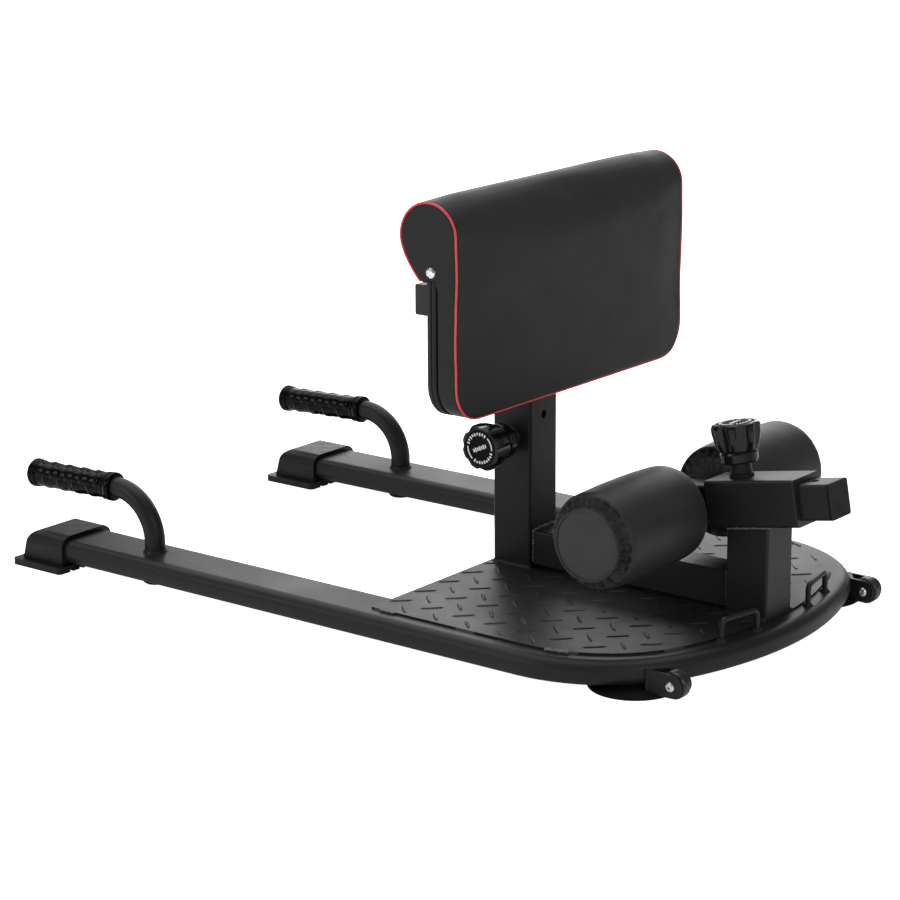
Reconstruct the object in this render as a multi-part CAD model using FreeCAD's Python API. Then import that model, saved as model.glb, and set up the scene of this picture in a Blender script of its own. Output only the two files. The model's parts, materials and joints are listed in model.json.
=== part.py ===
"""Squat machine with a calf pad, ankle rollers and push-up handles.

Millimetres. +X runs from the rail ends towards the front bow, +Y is the left side,
+Z is up, and z = 0 is the floor. The origin is the centre of the footprint.
"""
import FreeCAD
import Part
import os
from math import atan2, cos, degrees, hypot, pi, radians, sin

V = FreeCAD.Vector
X_AXIS, Y_AXIS, Z_AXIS = V(1, 0, 0), V(0, 1, 0), V(0, 0, 1)
SIDES = (("left", 1), ("right", -1))

# ---- driving dimensions ----
RAIL_SPACING = 440.0          # between the centrelines of the two rails
TUBE_W, TUBE_H = 72.0, 27.0   # flat-oval frame tube
TUBE_R = 12.0
TUBE_WALL = 2.0
TUBE_Z0 = 8.5                 # underside of the frame tube
RAIL_END_X = -436.0
CORNER_X = 249.0              # where each rail turns into the bow
CORNER_R = 126.0              # centreline radius of the bow's corners
BOW_R = 380.0                 # centreline radius of the bow's front
PLATE_T = 2.0
PLATE_REAR_X = 48.0
PLATE_OUTSET = 12.0           # plate edge outside the tube's centreline

POST = 50.0                   # square outer tubes
POST_WALL = 2.0
INNER = 38.0                  # square sliding tubes
SLIDE_GAP = 0.3               # running gap between a sliding tube and its bush
MAIN_POST_X = 77.5
MAIN_POST_TOP = 347.0
PAD_PITCH = 30.0              # index holes of the pad post
PAD_STEPS = 3
INDEX_R = 4.5
POST_PIN_Z = 182.0
SPARE_HOLE_Z = 207.0

FRONT_POST_X = 378.8
SLEEVE_TILT = 10.0            # sleeve rises towards the front
SLEEVE_Z = 158.2              # sleeve axis above the front post's centre
SLEEVE_BACK, SLEEVE_FRONT = -48.0, 55.0
LIP = 2.5
SLIDE_BACK, SLIDE_FRONT = -108.0, 91.3
SLIDE_PITCH = 29.0
SLIDE_STEPS = 3
SLEEVE_PIN_S = -19.0
AXLE_S, AXLE_DROP = -85.0, 3.0
AXLE_R = 12.5
ROLLER_R = 49.5
ROLLER_Y0, ROLLER_Y1 = 40.4, 191.5
DISC_R = 37.7

SPINE = 40.0
SPINE_Z0 = 40.0

HANDLE_X, HANDLE_Z = -275.0, 101.0
HANDLE_R, HANDLE_BEND = 11.6, 55.0
HANDLE_DROP = 1.7             # degrees the grips fall towards their ends
GRIP_S0, GRIP_S1 = 1.0, 132.5  # along the straight part of the handle
GRIP_R = 15.2

HOOK_R = 399.0                # radius of the bow on which the band hooks stand
HOOK_Y0, HOOK_Y1 = 51.0, 103.0
HOOK_TOP_Z, WIRE_R = 58.0, 3.0

WHEEL_X, WHEEL_Y, WHEEL_Z = 401.9, 189.9, 15.8
WHEEL_R, WHEEL_W = 14.4, 13.0
CHEEK_T, CHEEK_GAP, CHEEK_H = 2.8, 14.2, 24.4

FOOT_R, FOOT_ANGLE, FOOT_DIST = 47.0, 42.0, 130.0

PAD_BACK_X, PAD_FRONT_X = 104.5, 147.0
BOARD_T, COVER_T = 10.0, 1.5
PAD_HALF_W, BOARD_HALF_W = 207.0, 200.0
PAD_Z0, BOARD_Z0, BOARD_Z1 = 243.0, 250.0, 430.0
PAD_CORNER_R = 36.0
ROLL_X, ROLL_Z, ROLL_R, ROLL_RISE = 107.3, 431.5, 37.0, 40.0
FLAP_X, FLAP_Z = 95.7, 385.5
ARM_D, ARM_Z0, ARM_Z1, ARM_Y1 = 16.0, 352.0, 384.0, 205.0
PAD_BOLT_YS = (60.0, 150.0)

# ---- worked out from them ----
RAIL_Y = RAIL_SPACING / 2
TUBE_ZC = TUBE_Z0 + TUBE_H / 2
TUBE_Z1 = TUBE_Z0 + TUBE_H
CORNER_Y = RAIL_Y - CORNER_R
BOW_X = CORNER_X - ((BOW_R - CORNER_R) ** 2 - CORNER_Y ** 2) ** 0.5
BOW_ANGLE = degrees(atan2(CORNER_Y, CORNER_X - BOW_X))
PLATE_Z1 = TUBE_Z1 + PLATE_T
TILT = radians(SLEEVE_TILT)
SLEEVE_DIR = V(cos(TILT), 0, sin(TILT))
SLEEVE_UP = V(-sin(TILT), 0, cos(TILT))
DROP = radians(HANDLE_DROP)
GRIP_DIR = V(-cos(DROP), 0, -sin(DROP))
GRIP_UP = V(-sin(DROP), 0, cos(DROP))
INNER_Z0 = POST_PIN_Z - PAD_STEPS * PAD_PITCH - 22
INNER_Z1 = 380.0


# ---- helpers ----
def polar(cx, cy, radius, angle, z):
    return V(cx + radius * cos(radians(angle)), cy + radius * sin(radians(angle)), z)


def box(x0, x1, y0, y1, z0, z1):
    return Part.makeBox(x1 - x0, y1 - y0, z1 - z0, V(x0, y0, z0))


def rod(radius, start, end):
    return Part.makeCylinder(radius, (end - start).Length, start, end - start)


def ring(outer, inner, start, end):
    return rod(outer, start, end).cut(rod(inner, start, end))


def hexagon(across, start, end):
    """Hexagonal prism between two points."""
    axis = end - start
    side = axis.cross(X_AXIS)
    if side.Length < 1e-6 * axis.Length:
        side = axis.cross(Y_AXIS)
    side.normalize()
    turn = FreeCAD.Rotation(axis, 60)
    points = [side * (across / 2 / cos(pi / 6))]
    for _ in range(6):
        points.append(turn.multVec(points[-1]))
    face = Part.Face(Part.makePolygon([start + p for p in points]))
    return face.extrude(axis)


def rounded_outline(width, height, radius):
    """Closed wire in the local XY plane: a rectangle with round corners, about the origin."""
    w, h, k = width / 2, height / 2, radius * (1 - cos(pi / 4))
    edges = []
    for sx, sy in ((1, 1), (-1, 1), (-1, -1), (1, -1)):
        first = V(sx * w, sy * (h - radius), 0)
        middle = V(sx * (w - k), sy * (h - k), 0)
        last = V(sx * (w - radius), sy * h, 0)
        if sx * sy < 0:
            first, last = last, first
        edges.append(Part.Arc(first, middle, last).toShape())
    loop = []
    for i, arc in enumerate(edges):
        start = edges[i].Vertexes[-1].Point
        end = edges[(i + 1) % 4].Vertexes[0].Point
        loop += [arc, Part.LineSegment(start, end).toShape()]
    return Part.Wire(loop)


def placed(wire, origin, x_dir, y_dir):
    """A copy of a wire, moved so that its local X and Y axes follow the given directions."""
    z_dir = x_dir.cross(y_dir)
    matrix = FreeCAD.Matrix(
        x_dir.x, y_dir.x, z_dir.x, origin.x,
        x_dir.y, y_dir.y, z_dir.y, origin.y,
        x_dir.z, y_dir.z, z_dir.z, origin.z,
        0, 0, 0, 1)
    copy = wire.copy()
    copy.Placement = FreeCAD.Placement(matrix).multiply(copy.Placement)
    return copy


def bar(width, height, radius, start, end, x_dir, y_dir):
    """Rounded rectangular bar from start to end, its width along x_dir."""
    outline = placed(rounded_outline(width, height, radius), start, x_dir, y_dir)
    return Part.Face(outline).extrude(end - start)


def square_tube(size, wall, start, end, x_dir, y_dir):
    outer = bar(size, size, 3.0, start, end, x_dir, y_dir)
    inner = bar(size - 2 * wall, size - 2 * wall, 1.2, start, end, x_dir, y_dir)
    return outer.cut(inner)


def revolved(points, origin, axis, radial):
    """Solid of revolution from (radius, length) points about an axis."""
    corners = [origin + radial * r + axis * t for r, t in points]
    face = Part.Face(Part.makePolygon(corners + corners[:1]))
    return face.revolve(origin, axis, 360)


def swept(path, outline):
    return Part.Wire(path).makePipeShell([outline], True, False)


def joined(shapes):
    return Part.makeCompound(shapes)


def on_sleeve(s, across=0.0, up=0.0):
    """Point at distance s along the sleeve's axis, across it in Y, and up from it."""
    return V(FRONT_POST_X, across, SLEEVE_Z) + SLEEVE_DIR * s + SLEEVE_UP * up


# ---- frame tube and plate ----
def u_path(offset, z, start_x):
    """U-shaped path in plan, offset outwards from the tube's centreline."""
    corner, bow = CORNER_R + offset, BOW_R + offset
    side = CORNER_Y + corner
    middle = (BOW_ANGLE + 90) / 2

    def arc(cx, cy, radius, a0, a1, a2):
        points = [polar(cx, cy, radius, a, z) for a in (a0, a1, a2)]
        return Part.Arc(*points).toShape()

    return [
        Part.LineSegment(V(start_x, -side, z), V(CORNER_X, -side, z)).toShape(),
        arc(CORNER_X, -CORNER_Y, corner, -90, -middle, -BOW_ANGLE),
        arc(BOW_X, 0, bow, -BOW_ANGLE, 0, BOW_ANGLE),
        arc(CORNER_X, CORNER_Y, corner, BOW_ANGLE, middle, 90),
        Part.LineSegment(V(CORNER_X, side, z), V(start_x, side, z)).toShape(),
    ]


def tube_section(inset):
    outline = rounded_outline(TUBE_W - 2 * inset, TUBE_H - 2 * inset, TUBE_R - inset)
    return placed(outline, V(RAIL_END_X, -RAIL_Y, TUBE_ZC), Y_AXIS, Z_AXIS)


def frame_solid():
    return swept(u_path(0, TUBE_ZC, RAIL_END_X), tube_section(0))


def foot_centre(side):
    return polar(CORNER_X, side * CORNER_Y, FOOT_DIST, side * FOOT_ANGLE, 0)


def base_frame_tube(solid):
    tube = solid.cut(swept(u_path(0, TUBE_ZC, RAIL_END_X), tube_section(TUBE_WALL)))
    for _, side in SIDES:
        handle = V(HANDLE_X, side * RAIL_Y, 0)
        foot = foot_centre(side)
        tube = tube.cut(rod(5.2, handle, handle + Z_AXIS * 60))
        tube = tube.cut(rod(4.2, foot, foot + Z_AXIS * 14))
    return tube


def foot_plate():
    path = u_path(PLATE_OUTSET, TUBE_Z1, PLATE_REAR_X)
    side = RAIL_Y + PLATE_OUTSET
    rear = Part.LineSegment(V(PLATE_REAR_X, side, TUBE_Z1), V(PLATE_REAR_X, -side, TUBE_Z1))
    face = Part.Face(Part.Wire(path + [rear.toShape()]))
    return face.extrude(Z_AXIS * PLATE_T)


def plate_welds():
    """Short fillet welds where the plate's edge meets the tube's top."""
    leg = 2.6
    beads = []
    for _, side in SIDES:
        edge = side * (RAIL_Y + PLATE_OUTSET)
        for x0 in (52.0, 160.0):
            corners = [V(x0, edge, TUBE_Z1), V(x0, edge + side * leg, TUBE_Z1), V(x0, edge, PLATE_Z1)]
            beads.append(Part.Face(Part.makePolygon(corners + corners[:1])).extrude(X_AXIS * 24))
        centre = V(CORNER_X, side * CORNER_Y, 0)
        radius = CORNER_R + PLATE_OUTSET
        for angle in (66.0, 20.0):
            out = V(cos(radians(side * angle)), sin(radians(side * angle)), 0)
            corners = [centre + out * radius + Z_AXIS * TUBE_Z1,
                       centre + out * (radius + leg) + Z_AXIS * TUBE_Z1,
                       centre + out * radius + Z_AXIS * PLATE_Z1]
            face = Part.Face(Part.makePolygon(corners + corners[:1]))
            beads.append(face.revolve(centre, Z_AXIS, 10 * side))
    return joined(beads)


def plate_crossbar():
    half = RAIL_Y - TUBE_W / 2
    start = V(MAIN_POST_X, -half, TUBE_Z1 - 10)
    end = V(MAIN_POST_X, half, TUBE_Z1 - 10)
    outer = bar(40, 20, 3, start, end, X_AXIS, Z_AXIS)
    return outer.cut(bar(36, 16, 1.5, start, end, X_AXIS, Z_AXIS))


# ---- posts, spine and sleeve ----
def pin_hole(face_point, outward):
    return rod(4.3, face_point - outward * 4, face_point + outward)


def main_post():
    start, end = V(MAIN_POST_X, 0, PLATE_Z1), V(MAIN_POST_X, 0, MAIN_POST_TOP)
    tube = square_tube(POST, POST_WALL, start, end, X_AXIS, Y_AXIS)
    spare = V(MAIN_POST_X + POST / 2, 0, SPARE_HOLE_Z)
    tube = tube.cut(rod(INDEX_R, spare - X_AXIS * 4, spare + X_AXIS))
    return tube.cut(pin_hole(V(MAIN_POST_X, -POST / 2, POST_PIN_Z), V(0, -1, 0)))


def tube_bush(start, end, lip_end, x_dir, y_dir):
    """Plastic guide inside a square tube, from start to end, with a lip outside its mouth."""
    bore = INNER + 2 * SLIDE_GAP
    body = bar(POST - 2 * POST_WALL, POST - 2 * POST_WALL, 1.2, start, end, x_dir, y_dir)
    lip = bar(POST, POST, 3.0, end, lip_end, x_dir, y_dir)
    return body.fuse(lip).cut(bar(bore, bore, 2.6, start, lip_end, x_dir, y_dir))


def post_bush():
    z = MAIN_POST_TOP
    return tube_bush(V(MAIN_POST_X, 0, z - 30), V(MAIN_POST_X, 0, z), V(MAIN_POST_X, 0, z + LIP),
                     X_AXIS, Y_AXIS)


def spine_tube():
    zc = SPINE_Z0 + SPINE / 2
    start = V(MAIN_POST_X + POST / 2, 0, zc)
    end = V(FRONT_POST_X - POST / 2, 0, zc)
    return square_tube(SPINE, 2.0, start, end, Y_AXIS, Z_AXIS)


def sleeve_block():
    return bar(POST, POST, 3.0, on_sleeve(SLEEVE_BACK), on_sleeve(SLEEVE_FRONT), Y_AXIS, SLEEVE_UP)


def front_post():
    start, end = V(FRONT_POST_X, 0, PLATE_Z1), V(FRONT_POST_X, 0, SLEEVE_Z)
    tube = square_tube(POST, POST_WALL, start, end, X_AXIS, Y_AXIS)
    clearing = bar(POST + 4, POST, 0.5, on_sleeve(-80), on_sleeve(80), Y_AXIS, SLEEVE_UP)
    return tube.cut(clearing)


def roller_sleeve():
    tube = square_tube(POST, POST_WALL, on_sleeve(SLEEVE_BACK), on_sleeve(SLEEVE_FRONT),
                       Y_AXIS, SLEEVE_UP)
    return tube.cut(pin_hole(on_sleeve(SLEEVE_PIN_S, 0, POST / 2), SLEEVE_UP))


def sleeve_bush(end_s, sign):
    return tube_bush(on_sleeve(end_s - sign * 15), on_sleeve(end_s), on_sleeve(end_s + sign * LIP),
                     Y_AXIS, SLEEVE_UP)


# ---- spring pins and knobs ----
def pin_housing(face, out, radial):
    """Barrel on a post face, with a hollow chamber for the pin's shoulder."""
    barrel = revolved([(0, 0), (13, 0), (13, 2.5), (11.5, 4), (11.5, 15), (0, 15)], face, out, radial)
    chamber = revolved([(0, -1), (4.3, -1), (4.3, 2), (7, 2), (7, 13.8), (4.3, 13.8), (4.3, 16), (0, 16)],
                       face, out, radial)
    return barrel.cut(chamber)


def pin_plunger(face, out, radial):
    return revolved([(0, -5.5), (3.1, -5.5), (3.9, -4.7), (3.9, 2.3), (6.6, 2.3), (6.6, 3.3), (3.9, 3.3),
                     (3.9, 32), (4, 32), (4, 46), (0, 46)], face, out, radial)


def pin_knob(face, out, radial):
    """Fluted pull knob: skirt, flared cap with eight scoops, bored for the pin."""
    body = revolved([(0, 15.5), (19, 15.5), (20, 17), (20, 25), (19, 27), (21, 29), (24, 37), (26, 47),
                     (26, 53), (24.5, 56), (21, 57), (0, 57)], face, out, radial)
    knob = body.cut(revolved([(0, 15), (4.05, 15), (4.05, 46.2), (0, 46.2)], face, out, radial))
    for i in range(8):
        spoke = FreeCAD.Rotation(out, 45.0 * i).multVec(radial)
        start = face + out * 28 + spoke * 29.0
        end = face + out * 59 + spoke * 31.8
        knob = knob.cut(rod(9.0, start, end))
    return knob


def pin_parts():
    post_face = V(MAIN_POST_X, -POST / 2, POST_PIN_Z)
    sleeve_face = on_sleeve(SLEEVE_PIN_S, 0, POST / 2)
    parts = {}
    for name, face, out, radial in (("post", post_face, V(0, -1, 0), X_AXIS),
                                    ("sleeve", sleeve_face, SLEEVE_UP, Y_AXIS)):
        parts[name + "_pin_housing"] = pin_housing(face, out, radial)
        parts[name + "_pin_plunger"] = pin_plunger(face, out, radial)
        parts[name + "_pin_knob"] = pin_knob(face, out, radial)
    return parts


# ---- rail ends, handles and grips ----
def rail_boot(side):
    """Rubber boot over a rail end: domed shell, foot flange and a ribbed sole."""
    y, x0, x1, top = side * RAIL_Y, RAIL_END_X - 12, -383.5, TUBE_Z1 + 5
    half, wide = TUBE_W / 2 + 4, TUBE_W / 2 + 13.5
    section = placed(rounded_outline(2 * half, 2 * top, 15), V(x0, y, 0), Y_AXIS, Z_AXIS)
    shell = Part.Face(section).extrude(X_AXIS * (x1 - x0)).common(box(x0, x1, y - half, y + half, 0, top))
    slope = Part.Wire([
        Part.LineSegment(V(x0, 0, 0), V(x1, 0, 0)).toShape(),
        Part.LineSegment(V(x1, 0, 0), V(x1, 0, top)).toShape(),
        Part.LineSegment(V(x1, 0, top), V(x0 + 19, 0, top)).toShape(),
        Part.Arc(V(x0 + 19, 0, top), V(x0 + 12, 0, top - 4), V(x0 + 7.5, 0, top - 13)).toShape(),
        Part.LineSegment(V(x0 + 7.5, 0, top - 13), V(x0, 0, 0)).toShape(),
    ])
    profile = Part.Face(slope).extrude(Y_AXIS * (2 * half + 2))
    profile.translate(V(0, y - half - 1, 0))
    foot_x0, foot_x1 = x0 - 6.5, x1 + 5
    middle = V((foot_x0 + foot_x1) / 2, y, 0)
    flange = bar(foot_x1 - foot_x0, 2 * wide, 5, middle, middle + Z_AXIS * 7.5, X_AXIS, Y_AXIS)
    boot = shell.common(profile).fuse(flange)
    pocket = placed(rounded_outline(TUBE_W + 0.2, TUBE_H + 0.2, TUBE_R + 0.1),
                    V(RAIL_END_X, y, TUBE_ZC), Y_AXIS, Z_AXIS)
    boot = boot.cut(Part.Face(pocket).extrude(X_AXIS * 70))
    for i in range(-2, 3):
        groove_y = y + 15 * i
        boot = boot.cut(box(foot_x0 + 8, foot_x1 + 1, groove_y - 2.5, groove_y + 2.5, -1, 2))
    return boot


def handle_bend(side):
    return V(HANDLE_X - HANDLE_BEND, side * RAIL_Y, HANDLE_Z - HANDLE_BEND)


def on_grip(side, s):
    """Point on the handle's straight part, s from the end of its bend."""
    return handle_bend(side) + GRIP_UP * HANDLE_BEND + GRIP_DIR * s


def handle_path(side, length):
    y = side * RAIL_Y
    foot = V(HANDLE_X, y, TUBE_Z1)
    knee = V(HANDLE_X, y, HANDLE_Z - HANDLE_BEND)
    half_turn = radians((90 + HANDLE_DROP) / 2)
    middle = handle_bend(side) + V(cos(half_turn), 0, sin(half_turn)) * HANDLE_BEND
    return [Part.LineSegment(foot, knee).toShape(),
            Part.Arc(knee, middle, on_grip(side, 0)).toShape(),
            Part.LineSegment(on_grip(side, 0), on_grip(side, length)).toShape()]


def handle_tube(side):
    foot = V(HANDLE_X, side * RAIL_Y, TUBE_Z1)
    path = handle_path(side, GRIP_S1 - 5)
    outer = swept(path, Part.Wire(Part.makeCircle(HANDLE_R, foot, Z_AXIS)))
    return outer.cut(swept(path, Part.Wire(Part.makeCircle(HANDLE_R - 2, foot, Z_AXIS))))


def handle_grip(side):
    """Moulded grip with a closed domed end and a ring at each end."""
    length = GRIP_S1 - GRIP_S0
    ring_r = GRIP_R + 1.3
    profile = [(0, 0), (11, 0), (14.5, 1.5), (ring_r, 4), (ring_r, 9), (GRIP_R, 10.5),
               (GRIP_R, length - 9), (ring_r, length - 8), (ring_r, length - 1.5), (ring_r - 1, length),
               (HANDLE_R + 0.02, length), (HANDLE_R + 0.02, 5), (0, 5)]
    return revolved(profile, on_grip(side, GRIP_S1), GRIP_DIR * -1, GRIP_UP)


def handle_plugs():
    plugs = []
    for _, side in SIDES:
        foot = V(HANDLE_X, side * RAIL_Y, TUBE_Z1)
        plugs.append(ring(HANDLE_R - 2, 5.0, foot, foot + Z_AXIS * 20))
    return joined(plugs)


def handle_bolts():
    """Bolts with wide round heads that hold the handles from below and reach the floor."""
    bolts = []
    for _, side in SIDES:
        base = V(HANDLE_X, side * RAIL_Y, TUBE_Z0)
        head = revolved([(0, 0), (12.5, 0), (14.5, 1.5), (14.5, 4.5), (11, TUBE_Z0), (0, TUBE_Z0)],
                        V(base.x, base.y, 0), Z_AXIS, X_AXIS)
        shank = rod(4.98, base, V(base.x, base.y, TUBE_Z1 + 18))
        bolts.append(shank.fuse(head))
    return joined(bolts)


# ---- band hooks, wheels and feet ----
def hook_feet(side):
    return [V(BOW_X + (HOOK_R ** 2 - y ** 2) ** 0.5, side * y, TUBE_Z1) for y in (HOOK_Y0, HOOK_Y1)]


def band_hook(side):
    """Round wire loop standing on the bow for a resistance band."""
    inner, outer = hook_feet(side)
    along = (outer - inner).normalize()
    bend, k = 7.0, 7.0 * (1 - cos(pi / 4))
    up = Z_AXIS * (HOOK_TOP_Z - TUBE_Z1)
    path = [
        Part.LineSegment(inner, inner + up - Z_AXIS * bend).toShape(),
        Part.Arc(inner + up - Z_AXIS * bend, inner + up - Z_AXIS * k + along * k,
                 inner + up + along * bend).toShape(),
        Part.LineSegment(inner + up + along * bend, outer + up - along * bend).toShape(),
        Part.Arc(outer + up - along * bend, outer + up - Z_AXIS * k - along * k,
                 outer + up - Z_AXIS * bend).toShape(),
        Part.LineSegment(outer + up - Z_AXIS * bend, outer).toShape(),
    ]
    return swept(path, Part.Wire(Part.makeCircle(WIRE_R, inner, Z_AXIS)))


def frame_welds():
    """Weld beads round the handle feet, hook feet and post feet."""
    beads = []
    for _, side in SIDES:
        base = V(HANDLE_X, side * RAIL_Y, TUBE_Z1)
        cone = Part.makeCone(HANDLE_R + 2.4, HANDLE_R + 0.3, 3.2, base)
        beads.append(cone.cut(rod(HANDLE_R, base, base + Z_AXIS * 5)))
        for foot in hook_feet(side):
            cone = Part.makeCone(WIRE_R + 3, WIRE_R + 0.8, 3.5, foot)
            plate_side = V(BOW_X, 0, TUBE_Z1)
            plate = Part.makeCylinder(BOW_R + PLATE_OUTSET, PLATE_T, plate_side)
            beads.append(cone.cut(rod(WIRE_R, foot, foot + Z_AXIS * 4)).cut(plate))
    for x in (MAIN_POST_X, FRONT_POST_X):
        bottom = placed(rounded_outline(POST + 5, POST + 5, 4), V(x, 0, PLATE_Z1), X_AXIS, Y_AXIS)
        top = placed(rounded_outline(POST + 0.6, POST + 0.6, 3), V(x, 0, PLATE_Z1 + 2.5), X_AXIS, Y_AXIS)
        core = bar(POST, POST, 3.0, V(x, 0, PLATE_Z1), V(x, 0, PLATE_Z1 + 3), X_AXIS, Y_AXIS)
        bead = Part.makeLoft([bottom, top], True).cut(core)
        if x == FRONT_POST_X:
            front = x + POST / 2
            bead = bead.cut(box(front, front + 5, -40, 40, PLATE_Z1, PLATE_Z1 + 5))
        beads.append(bead)
    return joined(beads)


def wheel_bracket(side, frame):
    """Channel that carries a transport wheel: two cheeks and a web on the outside of the bow."""
    reach, middle_z = CHEEK_GAP / 2 + CHEEK_T, WHEEL_Z
    z0, z1 = middle_z - CHEEK_H / 2, middle_z + CHEEK_H / 2

    def bow_x(y):
        return CORNER_X + ((CORNER_R + TUBE_W / 2) ** 2 - (y - CORNER_Y) ** 2) ** 0.5

    parts, rear = [], []
    for y0, edge in ((WHEEL_Y - reach, WHEEL_Y - reach), (WHEEL_Y + CHEEK_GAP / 2, WHEEL_Y + reach)):
        start = min(side * y0, side * (y0 + CHEEK_T))
        nose = rod(CHEEK_H / 2, V(WHEEL_X, start, WHEEL_Z), V(WHEEL_X, start + CHEEK_T, WHEEL_Z))
        tail = box(bow_x(edge) - 0.4, WHEEL_X, start, start + CHEEK_T, z0, z1)
        cheek = nose.fuse(tail)
        parts.append(cheek.cut(rod(3.1, V(WHEEL_X, start - 1, WHEEL_Z), V(WHEEL_X, start + 5, WHEEL_Z))))
        rear.append(V(bow_x(edge) - 0.4, side * edge, z0))
    out = V(rear[1].y - rear[0].y, rear[0].x - rear[1].x, 0).normalize() * side * (CHEEK_T + 0.8)
    web = Part.Face(Part.makePolygon([rear[0], rear[1], rear[1] + out, rear[0] + out, rear[0]]))
    channel = parts[0].fuse([parts[1], web.extrude(Z_AXIS * CHEEK_H)]).cut(frame)
    foot = foot_centre(side)
    return channel.cut(revolved([(0, 0), (FOOT_R + 0.5, 0), (FOOT_R + 0.5, 3.2), (34, 6.2), (34, TUBE_Z0),
                                 (0, TUBE_Z0)], foot, Z_AXIS, X_AXIS))


def wheel(side):
    y0, y1 = side * WHEEL_Y - WHEEL_W / 2, side * WHEEL_Y + WHEEL_W / 2
    profile = [(3.06, 0), (7, 0), (7, 1), (11, 1), (11, 0), (13, 0), (WHEEL_R, 2), (WHEEL_R, WHEEL_W - 2),
               (13, WHEEL_W), (11, WHEEL_W), (11, WHEEL_W - 1), (7, WHEEL_W - 1), (7, WHEEL_W),
               (3.06, WHEEL_W)]
    return revolved(profile, V(WHEEL_X, y0, WHEEL_Z), V(0, (y1 - y0) / WHEEL_W, 0), Z_AXIS)


def wheel_bolts():
    bolts = []
    reach = CHEEK_GAP / 2 + CHEEK_T
    for _, side in SIDES:
        centre = V(WHEEL_X, side * WHEEL_Y, WHEEL_Z)
        shank = rod(3, centre - Y_AXIS * reach, centre + Y_AXIS * (reach + 6))
        head = revolved([(0, 0), (5.2, 0), (5, 1.6), (3.6, 3), (0, 3.4)], centre - Y_AXIS * reach,
                        V(0, -1, 0), Z_AXIS)
        head = head.cut(hexagon(4, centre - Y_AXIS * (reach + 1.4), centre - Y_AXIS * (reach + 4)))
        nut = hexagon(10, centre + Y_AXIS * reach, centre + Y_AXIS * (reach + 5))
        bolts.append(shank.fuse([head, nut]))
    return joined(bolts)


def front_foot(side):
    """Flared rubber foot under the bow's corner."""
    centre = foot_centre(side)
    body = revolved([(0, 0), (FOOT_R - 1, 0), (FOOT_R, 1), (FOOT_R, 2.8), (34, 5.6), (22, TUBE_Z0),
                     (0, TUBE_Z0)], centre, Z_AXIS, X_AXIS)
    body = body.cut(rod(7.6, centre - Z_AXIS, centre + Z_AXIS * 5))
    return body.cut(rod(4.1, centre, centre + Z_AXIS * 9))


def foot_bolts():
    bolts = []
    inside = TUBE_Z0 + TUBE_WALL
    for _, side in SIDES:
        centre = foot_centre(side)
        shank = rod(4, centre + Z_AXIS, centre + Z_AXIS * (inside + 9))
        head = rod(7, centre + Z_AXIS, centre + Z_AXIS * 5)
        nut = hexagon(13, centre + Z_AXIS * inside, centre + Z_AXIS * (inside + 6.5))
        bolts.append(shank.fuse([head, nut]))
    return joined(bolts)


# ---- pad and its post ----
def inner_post():
    start, end = V(MAIN_POST_X, 0, INNER_Z0), V(MAIN_POST_X, 0, INNER_Z1)
    tube = square_tube(INNER, 2.0, start, end, X_AXIS, Y_AXIS)
    for i in range(PAD_STEPS + 1):
        z = POST_PIN_Z - i * PAD_PITCH
        tube = tube.cut(rod(INDEX_R, V(MAIN_POST_X, -INNER, z), V(MAIN_POST_X, 0, z)))
    return tube


def tube_cap(start, end, inward, x_dir, y_dir):
    """Plastic end cap: a plate over the tube's end and a plug inside it."""
    plate = bar(INNER, INNER, 3.0, start, end, x_dir, y_dir)
    plug = bar(INNER - 4.2, INNER - 4.2, 1.2, start, start + inward * 10, x_dir, y_dir)
    return plate.fuse(plug)


def inner_post_cap():
    start = V(MAIN_POST_X, 0, INNER_Z1)
    return tube_cap(start, start + Z_AXIS * 3, V(0, 0, -1), X_AXIS, Y_AXIS)


def bolt_holes(radius, x0, x1):
    z = (ARM_Z0 + ARM_Z1) / 2
    return [rod(radius, V(x0, side * y, z), V(x1, side * y, z)) for _, side in SIDES for y in PAD_BOLT_YS]


def pad_arm(side):
    """Flat box arm from the inner post to the pad's edge."""
    height = ARM_Z1 - ARM_Z0
    xc, zc = PAD_BACK_X - ARM_D / 2, (ARM_Z0 + ARM_Z1) / 2
    start, end = V(xc, side * INNER / 2, zc), V(xc, side * (ARM_Y1 - 3), zc)
    outer = bar(ARM_D, height, 2, start, end, X_AXIS, Z_AXIS)
    arm = outer.cut(bar(ARM_D - 3.2, height - 3.2, 0.8, start, end, X_AXIS, Z_AXIS))
    return arm.cut(joined(bolt_holes(4.2, PAD_BACK_X - ARM_D - 1, PAD_BACK_X + 1)))


def pad_arm_caps():
    height = ARM_Z1 - ARM_Z0
    xc, zc = PAD_BACK_X - ARM_D / 2, (ARM_Z0 + ARM_Z1) / 2
    caps = []
    for _, side in SIDES:
        end = V(xc, side * (ARM_Y1 - 3), zc)
        plate = bar(ARM_D, height, 2, end, end + Y_AXIS * (3 * side), X_AXIS, Z_AXIS)
        plug = bar(ARM_D - 3.4, height - 3.4, 0.8, end, end - Y_AXIS * (8 * side), X_AXIS, Z_AXIS)
        caps.append(plate.fuse(plug))
    return joined(caps)


def pad_front_outline(half_width, z0, z1, radius):
    """Outline in Y and Z with round bottom corners, as a face at x = 0."""
    k = radius * (1 - cos(pi / 4))

    def corner(side):
        points = [V(0, side * half_width, z0 + radius), V(0, side * (half_width - k), z0 + k),
                  V(0, side * (half_width - radius), z0)]
        return points if side > 0 else points[::-1]

    right, left = corner(-1), corner(1)
    lines = [Part.LineSegment(right[2], V(0, -half_width, z1)),
             Part.LineSegment(V(0, -half_width, z1), V(0, half_width, z1)),
             Part.LineSegment(V(0, half_width, z1), left[0]),
             Part.Arc(*left),
             Part.LineSegment(left[2], right[0]),
             Part.Arc(*right)]
    return Part.Face(Part.Wire(Part.__sortEdges__([line.toShape() for line in lines])))


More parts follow.
